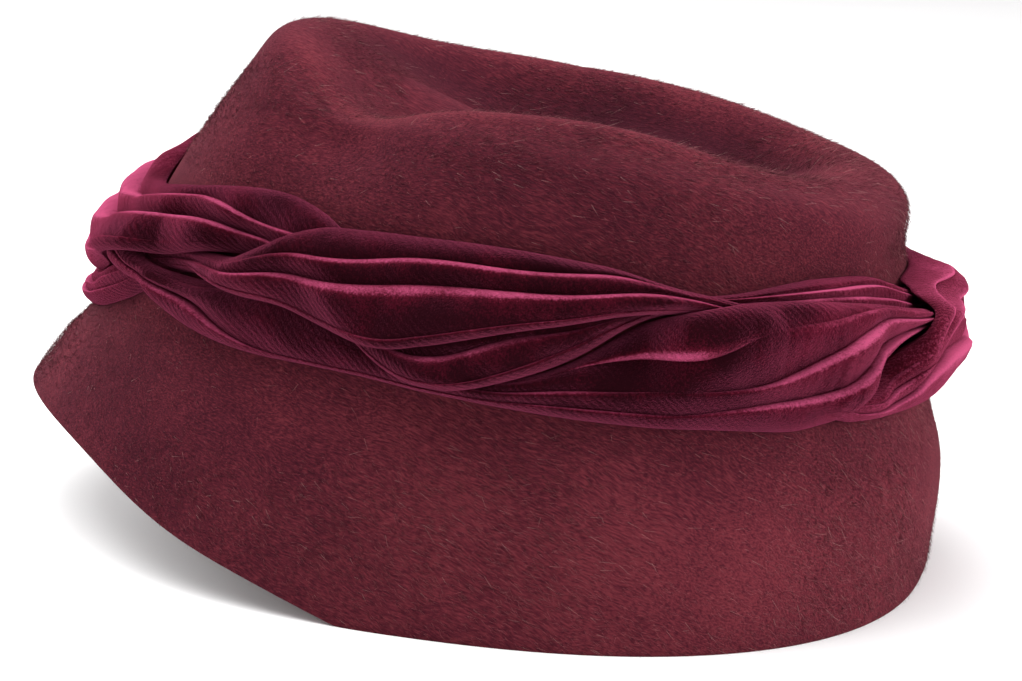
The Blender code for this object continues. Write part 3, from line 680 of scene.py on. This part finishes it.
def lay_bundles(theta):
    """Lays the bundles on each other in the order of ORDER: each rests on the highest of what lies under
    it, the lowest first, and its upper side adds its own thickness to cloth pulled tight over that.
    Returns the name, place, underside, upper side and painted highlight of each."""
    names = list(BUNDLES)
    sections = [bundle_section(name, theta) for name in names]
    spans = np.searchsorted(column(ORDER, ORDER_COLUMNS, "angle"), theta % 360, side="right") - 1
    rank = np.array([[ORDER[span][1:].index(k + 1) for k in range(len(names))] for span in spans])
    lowest, highest, lines = -0.4, 1.5, 191
    grid = np.linspace(lowest, highest, lines)
    near, ease = 4, 6
    under = [np.zeros_like(share[:, ::UNDER_EVERY]) for share, _, _ in sections]
    upper = [thick.copy() for _, thick, _ in sections]
    for _ in names:
        covers = []
        for (share, _, _), top in zip(sections, upper):
            cover = np.array([np.interp(grid, s, t, left=0, right=0) for s, t in zip(share, top)])
            covers.append(widest(cover + np.where(cover > 0, AIR / 2, 0), 1))
        for k, (share, thick, _) in enumerate(sections):
            support = np.zeros_like(covers[0])
            for j in range(len(names)):
                beneath = rank[:, [j]] < rank[:, [k]]
                support = np.maximum(support, np.where(beneath, covers[j], 0))
            places = share[:, ::UNDER_EVERY]
            heights = np.array([np.interp(p, grid, s) for p, s in zip(places, support)])
            heights = np.max([np.roll(heights, i, 0) for i in range(-near, near + 1)], axis=0)
            heights = eased_round(heights, ease)
            under[k] = heights
            pulled = taut(heights, places)
            upper[k] = thick + np.array([np.interp(s, p, u) for s, p, u in zip(share, places, pulled)])
    return [(names[k], sections[k][0], under[k], upper[k], sections[k][2]) for k in range(len(names))]


def velvet_material():
    """Crimson velvet: the pile's rows run slantwise across the cloth, a painted highlight makes the crests
    paler than the valleys, and a strong sheen lights up whatever turns away from the eye."""
    material = bpy.data.materials.new("velvet")
    material.use_nodes = True
    tree = material.node_tree
    # Painted highlight on the fold crests and at the turns, mixed into the colour.
    painted_velvet_highlight = node(tree, "ShaderNodeAttribute", attribute_name="painted_velvet_highlight").outputs["Fac"]
    along = node(tree, "ShaderNodeAttribute", attribute_name="along").outputs["Fac"]
    across = node(tree, "ShaderNodeAttribute", attribute_name="across").outputs["Fac"]
    cloth = node(tree, "ShaderNodeCombineXYZ", {"X": along, "Y": across}).outputs[0]
    place = node(tree, "ShaderNodeTexCoord").outputs["Object"]
    rows = node(tree, "ShaderNodeTexWave", {
        "Vector": cloth, "Scale": ROWS_SCALE, "Distortion": 0.8, "Detail": 1.0,
        "Detail Scale": 0.3}, bands_direction="DIAGONAL").outputs["Fac"]
    pile = noise(tree, place, PILE_BLOTS, 3.0, 0.85)
    crushed = noise(tree, place, CRUSHED_BLOTS, 5.0, 0.6)
    parts = {"painted_velvet_highlight": painted_velvet_highlight, "crushed": crushed, "pile": pile, "rows": rows}
    tone = mix_in(tree, [(parts[part], share) for part, share in TONE_SHARES.items()], TONE_BASE)
    shader = tree.nodes["Principled BSDF"]
    tree.links.new(ramp(tree, tone, VELVET_STOPS), shader.inputs["Base Color"])
    shader.inputs["Roughness"].default_value = 0.85
    shader.inputs["Specular IOR Level"].default_value = 0.0
    shader.inputs["Sheen Weight"].default_value = 0.60
    shader.inputs["Sheen Roughness"].default_value = 0.30
    shader.inputs["Sheen Tint"].default_value = VELVET_SHEEN
    height = mix_in(tree, [(rows, ROW_STANDS)], pile)
    relief = node(tree, "ShaderNodeBump", {"Height": height, "Strength": 1.0, "Distance": PILE_STANDS})
    tree.links.new(relief.outputs["Normal"], shader.inputs["Normal"])
    return material


def build_strand(name, theta, share, under, upper, painted_velvet_highlight, material):
    """A bundle as a closed ring: its upper side, then its underside backwards. Each point stands over the
    felt by its height along the felt's normal. The attributes along and across are lengths on the cloth."""
    def place(shares, height):
        level = BAND_FOOT + shares
        return hood_points(theta, level) + hood_normals(theta, level) * (AIR + height)[..., None]
    top, bottom = place(share, upper), place(share[:, ::UNDER_EVERY], under)[:, 1:-1]
    loop = np.concatenate([top, bottom[:, ::-1]], 1)
    rows, n = loop.shape[1], len(theta)
    points = loop.transpose(1, 0, 2).reshape(-1, 3)
    faces = ring_faces(rows + 1, n) % (rows * n)
    round_step = np.linalg.norm(np.diff(top, axis=0, append=top[:1]), axis=-1).mean(1)
    along = np.tile(np.cumsum(round_step)[:, None], (1, rows))
    step = np.linalg.norm(np.diff(top, axis=1, prepend=top[:, :1]), axis=-1)
    spare = np.zeros(bottom.shape[:2])
    across = np.concatenate([np.cumsum(step, 1), spare], 1)
    # Painted highlight on the upper side only.
    painted_velvet_highlight = np.concatenate([painted_velvet_highlight, spare], 1)
    return make_piece(name, points, [faces], material, [
        ("painted_velvet_highlight", painted_velvet_highlight.T.reshape(-1)), ("along", along.T.reshape(-1)), ("across", across.T.reshape(-1))])


velvet = velvet_material()
stations = np.arange(STRAND_STATIONS) * 360.0 / STRAND_STATIONS
for name, *shape in lay_bundles(stations):
    strand = build_strand(name.replace("strand", "length"), stations, *shape, velvet)
    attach(strand, "root")
    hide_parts(name)


# Floor and light: a plain pale floor, soft white light from above and from the hat's front and back,
# and a pale sky that is darker on the side where the camera stands.
FLOOR_HALF = 6
FLOOR_WHITE = (0.93, 0.93, 0.93, 1.0)
SKY_WHITE = (1.0, 0.985, 0.99, 1.0)
NEAR_SIDE = (0.95, 0.26, -0.10)  # toward the darker side of the studio
FADE = (-0.1, 0.9)  # how far toward it the sky begins to darken, and where it is darkest
SKY_STRENGTH = (0.97, 0.30)  # on the far side and on the near side
TARGET = np.array([0.0, 0.0045, 0.0499])  # the point that the lights and the camera look at

floor_mesh = bpy.data.meshes.new("floor")
corners = [(FLOOR_HALF * x, FLOOR_HALF * y, 0) for x, y in ((-1, -1), (1, -1), (1, 1), (-1, 1))]
floor_mesh.from_pydata(corners, [], [(0, 1, 2, 3)])
floor = bpy.data.objects.new("floor", floor_mesh)
bpy.context.scene.collection.objects.link(floor)
pale = bpy.data.materials.new("pale floor")
pale.use_nodes = True
pale.node_tree.nodes["Principled BSDF"].inputs["Base Color"].default_value = FLOOR_WHITE
pale.node_tree.nodes["Principled BSDF"].inputs["Roughness"].default_value = 0.9
floor_mesh.materials.append(pale)

world = bpy.data.worlds.new("studio")
bpy.context.scene.world = world
world.use_nodes = True
sky = world.node_tree
way = node(sky, "ShaderNodeTexCoord").outputs["Generated"]
nearness = node(sky, "ShaderNodeVectorMath", {0: way, 1: NEAR_SIDE},
                operation="DOT_PRODUCT").outputs["Value"]
strength = node(sky, "ShaderNodeMapRange", {
    "Value": nearness, "From Min": FADE[0], "From Max": FADE[1], "To Min": SKY_STRENGTH[0],
    "To Max": SKY_STRENGTH[1]}).outputs[0]
sky.nodes["Background"].inputs["Color"].default_value = SKY_WHITE
sky.links.new(strength, sky.nodes["Background"].inputs["Strength"])


def toward(azimuth, elevation):
    """The unit vector that leaves the hat at an azimuth (0 at the front) and an elevation in degrees."""
    a, e = np.radians(azimuth), np.radians(elevation)
    return np.array([np.sin(a) * np.cos(e), -np.cos(a) * np.cos(e), np.sin(e)])


def soft_light(name, azimuth, elevation, distance, size, power):
    """A square area light that looks at the hat."""
    away = toward(azimuth, elevation) * distance
    light = bpy.data.lights.new(name, "AREA")
    light.size = size
    light.energy = power
    lamp = bpy.data.objects.new(name, light)
    lamp.location = away + TARGET
    lamp.rotation_euler = Vector(-away).to_track_quat("-Z", "Y").to_euler()
    bpy.context.scene.collection.objects.link(lamp)


soft_light("above", azimuth=20, elevation=75, distance=1.2, size=1.0, power=14.0)
soft_light("front_side", azimuth=-15, elevation=20, distance=1.3, size=0.9, power=16.0)
soft_light("back_side", azimuth=185, elevation=20, distance=1.3, size=0.9, power=14.0)


# Camera: where the photograph was taken from, by the wearer's left and a little above, tipped slightly.
AZIMUTH, ELEVATION, ROLL = 105.0, 12.6, 3.0
DISTANCE = 0.717
FOCAL_PIXELS, IMAGE_WIDTH = 2700.0, 1022.0
SENSOR_WIDTH = 36.0

back = toward(AZIMUTH, ELEVATION)
right = np.cross([0.0, 0.0, 1.0], back)
right /= np.linalg.norm(right)
up = np.cross(back, right)
roll = np.radians(ROLL)
right, up = right * np.cos(roll) + up * np.sin(roll), up * np.cos(roll) - right * np.sin(roll)
camera_data = bpy.data.cameras.new("camera")
camera_data.sensor_width = SENSOR_WIDTH
camera_data.lens = FOCAL_PIXELS / IMAGE_WIDTH * SENSOR_WIDTH
camera_data.clip_start = 0.01
camera = bpy.data.objects.new("camera", camera_data)
bpy.context.scene.collection.objects.link(camera)
turned = Matrix(np.stack([right, up, back], -1).tolist()).to_4x4()
camera.matrix_world = Matrix.Translation(Vector(TARGET + back * DISTANCE)) @ turned
bpy.context.scene.camera = camera
bpy.context.scene.view_settings.view_transform = "Standard"
